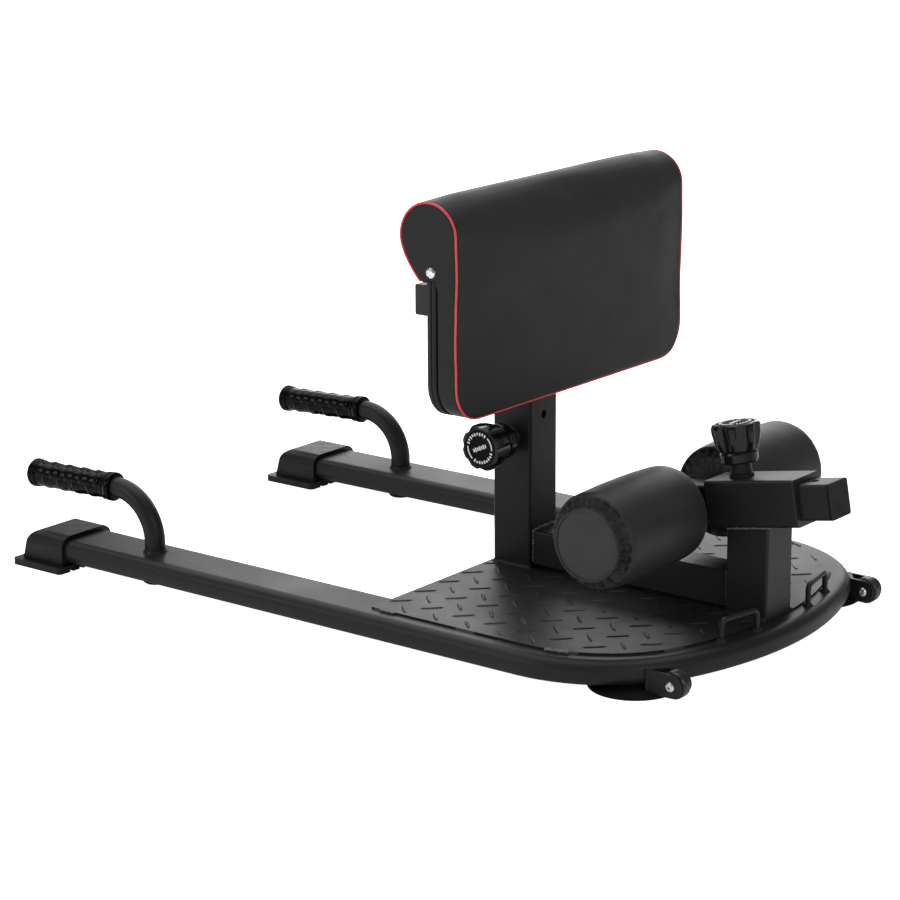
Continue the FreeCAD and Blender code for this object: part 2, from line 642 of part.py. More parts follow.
def pad_slab(x0, x1, half_width, z0, z1, radius):
    slab = pad_front_outline(half_width, z0, z1, radius).extrude(X_AXIS * (x1 - x0))
    slab.translate(V(x0, 0, 0))
    return slab


def side_screw_point(side):
    return V(PAD_BACK_X + COVER_T + BOARD_T / 2, side * PAD_HALF_W, 398.0)


def pad_board():
    x0 = PAD_BACK_X + COVER_T
    board = pad_slab(x0, x0 + BOARD_T, BOARD_HALF_W, BOARD_Z0, BOARD_Z1, 30)
    for _, side in SIDES:
        point = side_screw_point(side)
        board = board.cut(rod(2.05, point, point - Y_AXIS * (24 * side)))
    return board.cut(joined(bolt_holes(4.05, x0 - 1, x0 + 8)))


def pad_back_cover():
    cover = pad_slab(PAD_BACK_X, PAD_BACK_X + COVER_T, BOARD_HALF_W, BOARD_Z0, FLAP_Z - 1, 30)
    return cover.cut(joined(bolt_holes(4.2, PAD_BACK_X - 1, PAD_BACK_X + 3)))


def pad_cushion():
    """Foam and cover: a thin slab in front of the board that rolls over its top edge."""
    y0 = -PAD_HALF_W
    back, front = V(ROLL_X - ROLL_R, y0, ROLL_Z), V(PAD_FRONT_X, y0, ROLL_Z)
    top = V(ROLL_X - 4, y0, ROLL_Z + ROLL_RISE)
    lip = V(FLAP_X, y0, FLAP_Z)
    board_back = PAD_BACK_X + COVER_T
    board_front = board_back + BOARD_T
    outline = [
        Part.LineSegment(V(PAD_BACK_X, y0, PAD_Z0), V(PAD_FRONT_X - 8, y0, PAD_Z0)),
        Part.Arc(V(PAD_FRONT_X - 8, y0, PAD_Z0), V(PAD_FRONT_X - 2.3, y0, PAD_Z0 + 2.3),
                 V(PAD_FRONT_X, y0, PAD_Z0 + 8)),
        Part.LineSegment(V(PAD_FRONT_X, y0, PAD_Z0 + 8), front),
        Part.Arc(front, V(ROLL_X + 27, y0, ROLL_Z + 30), top),
        Part.Arc(top, V(ROLL_X - 27.5, y0, ROLL_Z + 28), back),
        Part.Arc(back, V(ROLL_X - 32.5, y0, ROLL_Z - 20), V(FLAP_X - 13, y0, FLAP_Z + 17)),
        Part.LineSegment(V(FLAP_X - 13, y0, FLAP_Z + 17), lip),
        Part.LineSegment(lip, V(PAD_BACK_X, y0, FLAP_Z)),
        Part.LineSegment(V(PAD_BACK_X, y0, FLAP_Z), V(PAD_BACK_X, y0, PAD_Z0)),
    ]
    face = Part.Face(Part.Wire([line.toShape() for line in outline]))
    foam = face.extrude(Y_AXIS * (2 * PAD_HALF_W))
    foam = foam.common(pad_slab(0, 300, PAD_HALF_W, PAD_Z0, 500, PAD_CORNER_R))
    foam = foam.cut(pad_slab(board_back, board_front, BOARD_HALF_W, BOARD_Z0, BOARD_Z1, 30))
    foam = foam.cut(pad_slab(PAD_BACK_X - 1, board_back, BOARD_HALF_W, BOARD_Z0, FLAP_Z, 30))
    for _, side in SIDES:
        point = side_screw_point(side)
        foam = foam.cut(rod(2.2, point, point - Y_AXIS * (8 * side)))
    return foam


def pad_bolts():
    z = (ARM_Z0 + ARM_Z1) / 2
    back = PAD_BACK_X - ARM_D
    bolts = []
    for _, side in SIDES:
        for y in PAD_BOLT_YS:
            base = V(back, side * y, z)
            shank = rod(4, base, base + X_AXIS * (ARM_D + COVER_T + 8))
            washer = rod(8.5, base - X_AXIS * 1.5, base)
            head = hexagon(13, base - X_AXIS * 7, base - X_AXIS * 1.5)
            bolts.append(shank.fuse([washer, head]))
    return joined(bolts)


def pad_side_screws():
    screws = []
    for _, side in SIDES:
        point = side_screw_point(side)
        out = V(0, side, 0)
        head = revolved([(0, 0), (6, 0), (5.4, 1.6), (3.5, 2.6), (0, 2.9)], point, out, X_AXIS)
        slots = [box(point.x - 3.5, point.x + 3.5, point.y - 1, point.y + 1, point.z - 0.6, point.z + 0.6),
                 box(point.x - 0.6, point.x + 0.6, point.y - 1, point.y + 1, point.z - 3.5, point.z + 3.5)]
        for slot in slots:
            slot.translate(out * 2.4)
            head = head.cut(slot)
        screws.append(head.fuse(rod(2, point, point - out * 22)))
    return joined(screws)


# ---- roller carriage ----
def axle_point(y):
    return on_sleeve(AXLE_S, y, -AXLE_DROP)


def slide_tube():
    tube = square_tube(INNER, 2.0, on_sleeve(SLIDE_BACK), on_sleeve(SLIDE_FRONT), Y_AXIS, SLEEVE_UP)
    for i in range(SLIDE_STEPS + 1):
        s = SLEEVE_PIN_S + i * SLIDE_PITCH
        tube = tube.cut(rod(INDEX_R, on_sleeve(s), on_sleeve(s, 0, INNER)))
    return tube.cut(rod(AXLE_R + 0.05, axle_point(-INNER), axle_point(INNER)))


def slide_cap():
    start = on_sleeve(SLIDE_FRONT)
    return tube_cap(start, start + SLEEVE_DIR * 3, SLEEVE_DIR * -1, Y_AXIS, SLEEVE_UP)


def roller_axle():
    return ring(AXLE_R, AXLE_R - 2, axle_point(-ROLLER_Y1 + 1), axle_point(ROLLER_Y1 - 1))


def roller_spacers():
    start, end = INNER / 2, ROLLER_Y0 - 0.9
    return joined([ring(17, AXLE_R + 0.02, axle_point(side * start), axle_point(side * end))
                   for _, side in SIDES])


def roller_foam(side):
    """Foam sleeve with its cover: round shoulders, gathered in at the outer end."""
    length = ROLLER_Y1 - ROLLER_Y0
    profile = [(15.6, 0), (38, 0), (45, 2), (48.5, 6), (ROLLER_R, 14), (ROLLER_R, length - 12),
               (48, length - 7), (44.5, length - 3), (39, length), (15.6, length)]
    return revolved(profile, axle_point(side * ROLLER_Y0), V(0, side, 0), X_AXIS)


def roller_bush(side):
    return ring(15.5, AXLE_R + 0.05, axle_point(side * ROLLER_Y0), axle_point(side * (ROLLER_Y1 - 0.5)))


def roller_disc(side):
    """Round end plate that closes the roller."""
    profile = [(0, 0), (DISC_R, 0), (DISC_R, 1.6), (DISC_R - 1.4, 2.6), (DISC_R - 6, 3.2), (0, 3.6)]
    return revolved(profile, axle_point(side * (ROLLER_Y1 + 0.1)), V(0, side, 0), X_AXIS)


def build():
    frame = frame_solid()
    parts = {
        "base_frame_tube": base_frame_tube(frame),
        "foot_plate": foot_plate(),
        "plate_welds": plate_welds(),
        "plate_crossbar": plate_crossbar(),
        "main_post": main_post(),
        "post_bush": post_bush(),
        "spine_tube": spine_tube(),
        "front_post": front_post(),
        "roller_sleeve": roller_sleeve(),
        "sleeve_bush_front": sleeve_bush(SLEEVE_FRONT, 1),
        "sleeve_bush_rear": sleeve_bush(SLEEVE_BACK, -1),
        "frame_welds": frame_welds(),
        "handle_plugs": handle_plugs(),
        "handle_bolts": handle_bolts(),
        "wheel_bolts": wheel_bolts(),
        "foot_bolts": foot_bolts(),
        "inner_post": inner_post(),
        "inner_post_cap": inner_post_cap(),
        "pad_arm_caps": pad_arm_caps(),
        "pad_board": pad_board(),
        "pad_back_cover": pad_back_cover(),
        "pad_cushion": pad_cushion(),
        "pad_bolts": pad_bolts(),
        "pad_side_screws": pad_side_screws(),
        "slide_tube": slide_tube(),
        "slide_cap": slide_cap(),
        "roller_axle": roller_axle(),
        "roller_spacers": roller_spacers(),
    }
    parts.update(pin_parts())
    for name, side in SIDES:
        parts["rail_boot_" + name] = rail_boot(side)
        parts["handle_tube_" + name] = handle_tube(side)
        parts["handle_grip_" + name] = handle_grip(side)
        parts["band_hook_" + name] = band_hook(side)
        parts["wheel_bracket_" + name] = wheel_bracket(side, frame)
        parts["wheel_" + name] = wheel(side)
        parts["front_foot_" + name] = front_foot(side)
        parts["pad_arm_" + name] = pad_arm(side)
        parts["roller_foam_" + name] = roller_foam(side)
        parts["roller_bush_" + name] = roller_bush(side)
        parts["roller_disc_" + name] = roller_disc(side)
    return parts


def main():
    os.makedirs("parts", exist_ok=True)
    total = FreeCAD.BoundBox()
    for name, shape in sorted(build().items()):
        solids = len(shape.Solids)
        print(f"{name:20s} solids {solids} volume {shape.Volume / 1000:9.2f} cm3 valid {shape.isValid()}")
        shape.exportStep(f"parts/{name}.step")
        total.add(shape.BoundBox)
    print("box", [round(v, 2) for v in (total.XMin, total.XMax, total.YMin, total.YMax, total.ZMin, total.ZMax)])


main()
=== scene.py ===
import json
import math
from math import cos, pi, radians, sin

import bmesh
import bpy
import numpy as np
from mathutils import Matrix, Vector
from mathutils.bvhtree import BVHTree
from mathutils.kdtree import KDTree


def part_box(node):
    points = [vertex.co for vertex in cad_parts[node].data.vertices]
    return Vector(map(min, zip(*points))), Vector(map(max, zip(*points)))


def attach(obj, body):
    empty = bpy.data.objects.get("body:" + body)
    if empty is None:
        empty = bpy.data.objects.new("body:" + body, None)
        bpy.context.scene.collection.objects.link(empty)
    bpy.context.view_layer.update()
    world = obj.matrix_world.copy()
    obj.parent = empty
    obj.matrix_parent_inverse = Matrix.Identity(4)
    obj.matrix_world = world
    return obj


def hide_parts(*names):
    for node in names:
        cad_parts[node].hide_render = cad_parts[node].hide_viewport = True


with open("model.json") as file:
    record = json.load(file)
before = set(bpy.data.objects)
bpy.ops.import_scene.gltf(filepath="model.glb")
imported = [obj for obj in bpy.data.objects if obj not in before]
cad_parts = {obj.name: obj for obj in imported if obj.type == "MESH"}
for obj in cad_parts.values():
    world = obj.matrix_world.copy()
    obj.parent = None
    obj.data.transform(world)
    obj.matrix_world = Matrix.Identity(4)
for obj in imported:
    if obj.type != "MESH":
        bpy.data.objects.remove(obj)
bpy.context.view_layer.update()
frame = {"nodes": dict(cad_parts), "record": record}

# ---- materials ----


class Nodes:
    """A node tree builder: each call adds one node and returns its main output."""

    def __init__(self, name):
        self.mat = bpy.data.materials.new(name)
        self.mat.use_nodes = True
        self.tree = self.mat.node_tree
        self.shader = self.tree.nodes["Principled BSDF"]
        self.coords = self.tree.nodes.new("ShaderNodeTexCoord").outputs["Object"]

    def link(self, out, socket):
        self.tree.links.new(out, socket)

    def noise(self, scale, detail):
        node = self.tree.nodes.new("ShaderNodeTexNoise")
        node.inputs["Scale"].default_value = scale
        node.inputs["Detail"].default_value = detail
        node.inputs["Roughness"].default_value = 0.55
        self.link(self.coords, node.inputs["Vector"])
        return node.outputs[0]

    def voronoi(self, scale, feature):
        node = self.tree.nodes.new("ShaderNodeTexVoronoi")
        node.feature = feature
        node.inputs["Scale"].default_value = scale
        self.link(self.coords, node.inputs["Vector"])
        return node.outputs["Distance"]

    def wave(self, scale, direction):
        node = self.tree.nodes.new("ShaderNodeTexWave")
        node.bands_direction = direction
        node.inputs["Scale"].default_value = scale
        node.inputs["Distortion"].default_value = 0
        self.link(self.coords, node.inputs["Vector"])
        return node.outputs["Fac"]

    def math(self, operation, a, b):
        node = self.tree.nodes.new("ShaderNodeMath")
        node.operation = operation
        for value, socket in ((a, node.inputs[0]), (b, node.inputs[1])):
            if isinstance(value, (int, float)):
                socket.default_value = value
            else:
                self.link(value, socket)
        return node.outputs[0]

    def spread(self, value, low, high, start=0.0, end=1.0):
        node = self.tree.nodes.new("ShaderNodeMapRange")
        for key, number in (("From Min", start), ("From Max", end), ("To Min", low), ("To Max", high)):
            node.inputs[key].default_value = number
        self.link(value, node.inputs["Value"])
        return node.outputs[0]

    def mix(self, value, dark, light):
        node = self.tree.nodes.new("ShaderNodeMix")
        node.data_type = "RGBA"
        self.link(value, node.inputs["Factor"])
        node.inputs["A"].default_value = (*dark, 1)
        node.inputs["B"].default_value = (*light, 1)
        return node.outputs["Result"]

    def bump(self, height, strength, distance):
        node = self.tree.nodes.new("ShaderNodeBump")
        node.inputs["Strength"].default_value = strength
        node.inputs["Distance"].default_value = distance
        self.link(height, node.inputs["Height"])
        self.link(node.outputs[0], self.shader.inputs["Normal"])

    def colour(self, value, dark, light):
        self.link(self.mix(value, dark, light), self.shader.inputs["Base Color"])

    def rough(self, value, low, high, start=0.3, end=0.7):
        self.link(self.spread(value, low, high, start, end), self.shader.inputs["Roughness"])

    def plain(self, **values):
        for key, value in values.items():
            self.shader.inputs[key.replace("_", " ")].default_value = value
        return self.mat


def powder_coat(name, dark, light, low, high, grain):
    n = Nodes(name)
    cloud = n.noise(9, 4)
    n.colour(cloud, dark, light)
    n.rough(cloud, low, high)
    fine = n.math("ADD", n.noise(1500, 2), n.math("MULTIPLY", n.noise(380, 3), 1.4))
    n.bump(fine, grain, 0.00016)
    return n.plain(Specular_IOR_Level=0.2)


def leatherette(name, dark, light, low, high, grain, specular):
    n = Nodes(name)
    n.colour(n.noise(14, 4), dark, light)
    n.rough(n.noise(22, 3), low, high)
    cells = n.voronoi(900, "DISTANCE_TO_EDGE")
    height = n.math("ADD", n.math("MINIMUM", cells, 0.12), n.math("MULTIPLY", n.noise(60, 3), 0.25))
    n.bump(height, grain, 0.00025)
    return n.plain(Specular_IOR_Level=specular)


def moulded(name, dark, light, low, high, scale, grain, specular=0.4):
    n = Nodes(name)
    n.colour(n.noise(25, 3), dark, light)
    n.rough(n.noise(70, 3), low, high)
    n.bump(n.noise(scale, 2), grain, 0.00015)
    return n.plain(Specular_IOR_Level=specular)


def woven_cloth(name):
    n = Nodes(name)
    warp = n.wave(520, "Y")
    weft = n.wave(520, "Z")
    weave = n.math("MAXIMUM", warp, weft)
    n.colour(weave, (0.008, 0.008, 0.008), (0.022, 0.022, 0.023))
    n.rough(weave, 0.75, 0.95, 0.0, 1.0)
    n.bump(weave, 0.6, 0.0003)
    return n.plain(Specular_IOR_Level=0.2)


def bare_metal(name, dark, light, low, high):
    n = Nodes(name)
    n.colour(n.noise(180, 3), dark, light)
    n.rough(n.noise(400, 3), low, high)
    n.bump(n.noise(900, 2), 0.15, 0.0001)
    return n.plain(Metallic=1.0)


def piping_vinyl(name):
    n = Nodes(name)
    n.colour(n.noise(120, 3), (0.62, 0.035, 0.04), (0.78, 0.065, 0.062))
    n.rough(n.noise(300, 3), 0.3, 0.45)
    n.bump(n.noise(900, 2), 0.25, 0.0002)
    return n.plain(Specular_IOR_Level=0.5)


BLACK, DARK = (0.009, 0.009, 0.0095), (0.0155, 0.0155, 0.0165)
# name: maker(name, darkest colour, lightest colour, lowest roughness, highest roughness, ...)
MATS = {
    "frame_black": powder_coat("powder_coat", BLACK, DARK, 0.36, 0.46, 0.5),
    "plate": powder_coat("plate_coat", BLACK, DARK, 0.34, 0.46, 0.7),
    "rubber_black": moulded("boot_rubber", (0.0025, 0.0025, 0.0026), (0.0045, 0.0045, 0.0046),
                            0.38, 0.5, 1200, 0.5, 0.25),
    "grip_rubber": moulded("grip_gloss", (0.0012, 0.0012, 0.0012), (0.0025, 0.0025, 0.0025),
                           0.1, 0.17, 600, 0.2, 0.1),
    "plastic_black": moulded("satin_plastic", (0.008, 0.008, 0.0085), (0.013, 0.013, 0.014),
                             0.38, 0.5, 1500, 0.5),
    "knob_plastic": moulded("knob_gloss", (0.003, 0.003, 0.0032), (0.0055, 0.0055, 0.006),
                            0.16, 0.24, 700, 0.15, 0.32),
    "pad_leatherette": leatherette("pad_leatherette", (0.022, 0.022, 0.0226), (0.029, 0.029, 0.0296),
                                   0.42, 0.52, 0.16, 0.1),
    "roller_cover": leatherette("roller_leatherette", (0.019, 0.019, 0.0195), (0.026, 0.026, 0.0265),
                                0.38, 0.48, 0.18, 0.16),
    "pad_board_black": moulded("board_wrap", (0.008, 0.008, 0.008), (0.014, 0.014, 0.015),
                               0.5, 0.62, 900, 0.5),
    "back_cloth": woven_cloth("back_cloth"),
    "zinc_steel": bare_metal("zinc_plate", (0.5, 0.5, 0.48), (0.72, 0.72, 0.7), 0.2, 0.36),
    "chrome_screw": bare_metal("chrome_plate", (0.7, 0.7, 0.7), (0.86, 0.86, 0.86), 0.05, 0.14),
    "pin_steel": bare_metal("turned_steel", (0.45, 0.45, 0.45), (0.62, 0.62, 0.62), 0.25, 0.4),
    "wheel_plastic": moulded("wheel_nylon", (0.006, 0.006, 0.0062), (0.011, 0.011, 0.0115),
                             0.3, 0.42, 1100, 0.4),
    "piping": piping_vinyl("piping_vinyl"),
    "disc": moulded("disc_plastic", (0.022, 0.022, 0.023), (0.034, 0.034, 0.035),
                    0.48, 0.6, 2200, 1.0, 0.35),
    "mark": moulded("mark_paint", (0.8, 0.8, 0.8), (0.9, 0.9, 0.9), 0.45, 0.6, 900, 0.2),
    "label": moulded("label_film", (0.004, 0.004, 0.0042), (0.007, 0.007, 0.0072),
                     0.6, 0.7, 900, 0.3, 0.08),
    # weld: painted highlight, a grey far lighter than the frame paint so the beads read bright even in shade
    "weld": moulded("weld_bead", (0.06, 0.06, 0.061), (0.15, 0.15, 0.153), 0.3, 0.5, 700, 0.8, 0.5),
    "cap": moulded("cap_plastic", (0.0045, 0.0045, 0.0047), (0.0075, 0.0075, 0.0078),
                   0.45, 0.58, 1500, 0.5, 0.12),
    "foot": moulded("foot_rubber", (0.003, 0.003, 0.003), (0.005, 0.005, 0.005), 0.65, 0.8, 900, 0.4, 0.12),
}

SLOT_OF = {s["node"]: s["material_slot"] for s in frame["record"]["subparts"]}
OWN_LOOK = {"foot_plate": "plate", "roller_disc": "disc", "front_foot": "foot", "slide_cap": "cap"}


def dress_frame():
    """Gives each CAD node its slot's look, or its own one."""
    for name, obj in frame["nodes"].items():
        own = [look for start, look in OWN_LOOK.items() if name.startswith(start)]
        for material_slot in obj.material_slots:
            material_slot.material = MATS[own[0] if own else SLOT_OF[name]]


dress_frame()


# ---- making pieces ----
def add_mesh(name, verts, faces, body, slot, look=None, smooth=True):
    mesh = bpy.data.meshes.new(name)
    mesh.from_pydata([tuple(v) for v in verts], [], faces)
    mesh.validate()
    mesh.update()
    bm = bmesh.new()
    bm.from_mesh(mesh)
    bmesh.ops.recalc_face_normals(bm, faces=bm.faces)
    bm.to_mesh(mesh)
    bm.free()
    mesh.polygons.foreach_set("use_smooth", [smooth] * len(mesh.polygons))
    obj = bpy.data.objects.new(name, mesh)
    bpy.context.collection.objects.link(obj)
    mesh.materials.append(MATS[look or slot])
    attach(obj, body)
    return obj


def merge(parts):
    """Joins (verts, faces) pairs into one."""
    verts, faces = [], []
    for v, f in parts:
        base = len(verts)
        verts += list(v)
        faces += [[i + base for i in face] for face in f]
    return verts, faces


def grid_faces(rows, cols, closed_rows=False, closed_cols=True):
    """Quads over a grid of vertices kept row by row."""
    faces = []
    for i in range(rows if closed_rows else rows - 1):
        for j in range(cols if closed_cols else cols - 1):
            a, b = i * cols + j, i * cols + (j + 1) % cols
            c, d = ((i + 1) % rows) * cols + (j + 1) % cols, ((i + 1) % rows) * cols + j
            faces.append([a, b, c, d])
    return faces


def tube(points, radius, segments=12, closed=False):
    """Round tube along a list of points, without twist. radius may be a function of position 0 to 1."""
    points = [Vector(p) for p in points]
    count = len(points)
    verts, side = [], None
    for i, p in enumerate(points):
        ahead = points[(i + 1) % count] if closed or i < count - 1 else p
        behind = points[i - 1] if closed or i else p
        along = (ahead - behind).normalized()
        if side is None:
            side = along.orthogonal().normalized()
        side = (side - along * side.dot(along)).normalized()
        other = along.cross(side)
        r = radius(i / (count - 1)) if callable(radius) else radius
        verts += [p + (side * cos(2 * pi * k / segments) + other * sin(2 * pi * k / segments)) * r
                  for k in range(segments)]
    faces = grid_faces(count, segments, closed_rows=closed)
    if not closed:
        faces += [list(range(segments))[::-1], list(range((count - 1) * segments, count * segments))]
    return verts, faces


def lathe(profile, segments, origin, axis, radial, shape=None):
    """Surface of revolution from (radius, length) points; shape(r, t, angle) gives both anew."""
    axis, radial = Vector(axis).normalized(), Vector(radial).normalized()
    other = axis.cross(radial)
    origin = Vector(origin)
    verts = []
    for r, t in profile:
        for k in range(segments):
            angle = 2 * pi * k / segments
            rr, tt = shape(r, t, angle) if shape else (r, t)
            verts.append(origin + axis * tt + (radial * cos(angle) + other * sin(angle)) * rr)
    faces = grid_faces(len(profile), segments)
    last = (len(profile) - 1) * segments
    faces += [list(range(segments))[::-1], list(range(last, last + segments))]
    return verts, faces


def resample(points, step):
    """Even points along a polyline."""
    points = [np.array(p, float) for p in points]
    lengths = [np.linalg.norm(b - a) for a, b in zip(points, points[1:])]
    total = sum(lengths)
    count = max(2, round(total / step))
    out, i, done = [], 0, 0.0
    for k in range(count + 1):
        target = total * k / count
        while i < len(lengths) - 1 and done + lengths[i] < target:
            done += lengths[i]
            i += 1
        t = (target - done) / lengths[i] if lengths[i] else 0
        out.append(points[i] + (points[i + 1] - points[i]) * min(1, t))
    return out


def arc_points(cx, cz, radius, start, end, count):
    """Points on an arc in X and Z, angles in degrees."""
    return [(cx + radius * cos(radians(start + (end - start) * i / count)),
             cz + radius * sin(radians(start + (end - start) * i / count))) for i in range(count + 1)]


def ease(t):
    """Smooth step from 0 to 1, flat outside."""
    t = min(1.0, max(0.0, t))
    return t * t * (3 - 2 * t)


# ---- calf pad ----
pad_lo, pad_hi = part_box("pad_cushion")
PAD_HALF = pad_hi.y
PAD_BASE_Z = pad_lo.z
FRONT_X = 0.1425              # the piping line down the front edge
BOARD_FRONT_X = 0.1165
ROLL_C = (0.1068, 0.4335)     # centre of the roll top, X and Z
ROLL_R = 0.0368
LIP = (0.0957, 0.3855)        # where the cover ends behind the roll
CORNER = 0.038                # radius of the two bottom corners
CROWN = 0.0048                # how far the front swells past the piping
CROWN_EDGE = 0.055            # width over which it dies away at each side
SWELL_HEIGHT = 0.225


def pad_section(crown):
    """Closed outline in X and Z, from the lip round the roll and down the front; crown swells the front."""
    rise = crown * 0.35
    back = [LIP, (0.0900, 0.3925), (0.0830, 0.4020), (0.0762, 0.4125)]
    roll = arc_points(*ROLL_C, ROLL_R + rise, 198, 8, 26)
    front = []
    for i in range(1, 33):
        z = ROLL_C[1] - (ROLL_C[1] - PAD_BASE_Z - 0.001) * i / 32
        swell = sin(pi * min(1, max(0, (z - PAD_BASE_Z) / SWELL_HEIGHT))) ** 0.45
        front.append((FRONT_X + 0.0013 * cos((z - 0.398) * 43) + crown * swell, z))
    foot = [(FRONT_X - 0.003, PAD_BASE_Z), (BOARD_FRONT_X, PAD_BASE_Z)]
    up = [(BOARD_FRONT_X, PAD_BASE_Z + 0.002), (BOARD_FRONT_X, LIP[1])]
    return back + roll + front + foot + up


def corner_floor(y):
    """Lowest z of the pad's outline at a given y: the bottom corners are round."""
    over = abs(y) - (PAD_HALF - CORNER)
    if over <= 0:
        return PAD_BASE_Z
    return PAD_BASE_Z + CORNER - math.sqrt(max(0.0, CORNER ** 2 - over ** 2))


def pad_shell():
    """The closed pad: sections across its width, crowned in the middle."""
    stations = [-PAD_HALF + 2 * PAD_HALF * (0.5 - 0.5 * cos(pi * i / 60)) for i in range(61)]
    rows = []
    for y in stations:
        edge = 1 - ease((PAD_HALF - abs(y)) / CROWN_EDGE)
        low = corner_floor(y)
        section = pad_section(CROWN * (1 - edge))
        ring = resample([(p[0], 0, p[1]) for p in section + section[:1]], 0.0042)
        rows.append([(p[0], y, max(p[2], low)) for p in ring])
    count = min(len(r) for r in rows)
    rows = [[r[round(i * (len(r) - 1) / count)] for i in range(count)] for r in rows]
    verts = [v for r in rows for v in r]
    faces = grid_faces(len(rows), count)
    faces += [list(range(count))[::-1], list(range((len(rows) - 1) * count, len(rows) * count))]
    return verts, faces


def piping_path():
    """The seam: near lip, over the roll, down the front edge, along the bottom and up the far side."""
    side = []
    for x, z in pad_section(0.0)[:-4]:
        if z >= PAD_BASE_Z + CORNER:
            side.append((x, PAD_HALF, z))
    corner = []
    for i in range(1, 15):
        a = radians(90 * i / 14)
        corner.append((FRONT_X - 0.0008, PAD_HALF - CORNER + CORNER * cos(a),
                       PAD_BASE_Z + CORNER - CORNER * sin(a)))
    half = side + corner
    near = [(x, -y, z) for x, y, z in half]
    path = near + half[::-1]
    return [tuple(p) for p in resample(path, 0.004)]


def remeshed(obj, voxel):
    modifier = obj.modifiers.new("remesh", "REMESH")
    modifier.mode = "VOXEL"
    modifier.voxel_size = voxel
    apply_modifiers(obj)


def apply_modifiers(obj):
    graph = bpy.context.evaluated_depsgraph_get()
    mesh = bpy.data.meshes.new_from_object(obj.evaluated_get(graph))
    old = obj.data
    obj.modifiers.clear()
    obj.data = mesh
    bpy.data.meshes.remove(old)


def inflate(obj, seam, cap):
    """Swells a closed mesh with Cloth, its seams held, and no point moved more than cap."""
    rest = np.array([v.co[:] for v in obj.data.vertices])
    tree = KDTree(len(seam))
    for i, p in enumerate(seam):
        tree.insert(p, i)
    tree.balance()
    held = obj.vertex_groups.new(name="held")
    for v in obj.data.vertices:
        distance = tree.find(v.co)[2]
        weight = 1 - ease((distance - 0.005) / 0.012)
        behind = v.co.x < BOARD_FRONT_X + 0.002 and v.co.z < LIP[1] + 0.003
        held.add([v.index], 1.0 if behind else weight, "REPLACE")
    cloth = obj.modifiers.new("cloth", "CLOTH")
    settings = cloth.settings
    settings.quality = 6
    settings.mass = 0.3
    settings.tension_stiffness = settings.compression_stiffness = 25
    settings.bending_stiffness = 4
    settings.use_pressure = True
    settings.uniform_pressure_force = 4
    settings.vertex_group_mass = "held"
    settings.effector_weights.gravity = 0
    scene = bpy.context.scene
    for step in range(1, 21):
        scene.frame_set(step)
    apply_modifiers(obj)
    scene.frame_set(1)
    moved = np.array([v.co[:] for v in obj.data.vertices])
    shift = moved - rest
    length = np.linalg.norm(shift, axis=1, keepdims=True)
    shift *= np.minimum(1, cap / np.maximum(length, 1e-9))
    for v, p in zip(obj.data.vertices, rest + shift):
        v.co = p
    obj.vertex_groups.clear()


def make_cushion():
    verts, faces = pad_shell()
    pad = add_mesh("pad_cover", verts, faces, "pad_carriage", "pad_leatherette")
    remeshed(pad, 0.0036)
    seam = piping_path()
    inflate(pad, seam, 0.0055)
    subdivide = pad.modifiers.new("smooth", "SUBSURF")
    subdivide.levels = subdivide.render_levels = 1
    apply_modifiers(pad)
    pad.data.polygons.foreach_set("use_smooth", [True] * len(pad.data.polygons))
    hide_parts("pad_cushion")
    add_mesh("pad_piping", *tube(laid_on(seam, pad), 0.0012, 12), "pad_carriage", "pad_leatherette", "piping")


def laid_on(path, obj):
    """Moves a path onto an object's surface and evens it out."""
    tree = BVHTree.FromObject(obj, bpy.context.evaluated_depsgraph_get())
    spots = []
    for p in path:
        hit, normal = tree.find_nearest(Vector(p))[:2]
        spots.append(hit + normal * 0.0005)
    for _ in range(3):
        middle = [(spots[i - 1] + spots[i] * 2 + spots[i + 1]) / 4 for i in range(1, len(spots) - 1)]
        spots = [spots[0]] + middle + [spots[-1]]
    return spots


def rim_band(name, x, width, depth, outset, slot, look=None):
    """Wrapped strip that runs down one side of the pad, under it and up the other."""
    half = PAD_HALF + outset
    path = [(half, LIP[1] + 0.004), (half, PAD_BASE_Z + CORNER)]
    path += [(half - CORNER + CORNER * cos(radians(a)),
              PAD_BASE_Z - outset + CORNER - CORNER * sin(radians(a))) for a in range(6, 91, 6)]
    path = path + [(-y, z) for y, z in path[::-1]]
    path = [p[1:] for p in resample([(0, y, z) for y, z in path], 0.004)]
    section = []
    for i in range(16):
        a = 2 * pi * i / 16
        section.append((math.copysign(abs(cos(a)) ** 0.6, cos(a)) * width / 2,
                        math.copysign(abs(sin(a)) ** 0.6, sin(a)) * depth / 2))
    verts = []
    for i, (y, z) in enumerate(path):
        y0, z0 = path[max(0, i - 1)]
        y1, z1 = path[min(len(path) - 1, i + 1)]
        length = math.hypot(y1 - y0, z1 - z0)
        out = (-(z1 - z0) / length, (y1 - y0) / length)
        for a, b in section:
            verts.append((x + a, y + out[0] * (b - depth / 2), z + out[1] * (b - depth / 2)))
    faces = grid_faces(len(path), 16)
    faces += [list(range(16))[::-1], list(range((len(path) - 1) * 16, len(path) * 16))]
    return add_mesh(name, verts, faces, "pad_carriage", slot, look)


make_cushion()
rim_band("pad_board_wrap", 0.1073, 0.0052, 0.0060, 0.0002, "pad_board_black")
rim_band("pad_cover_hem", 0.1132, 0.0054, 0.0060, 0.0002, "pad_leatherette")

# ---- checker plate ----
plate_lo, plate_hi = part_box("foot_plate")
BAR_LENGTH, BAR_WIDTH, BAR_RISE, BAR_PITCH = 0.026, 0.0054, 0.0010, 0.0415
POST_GAP = 0.004
PLATE_CORNER = (0.249, 0.094)   # centre of the round corner, X and Y
PLATE_CORNER_R = 0.138
BOW_R = 0.392                   # radius of the front edge


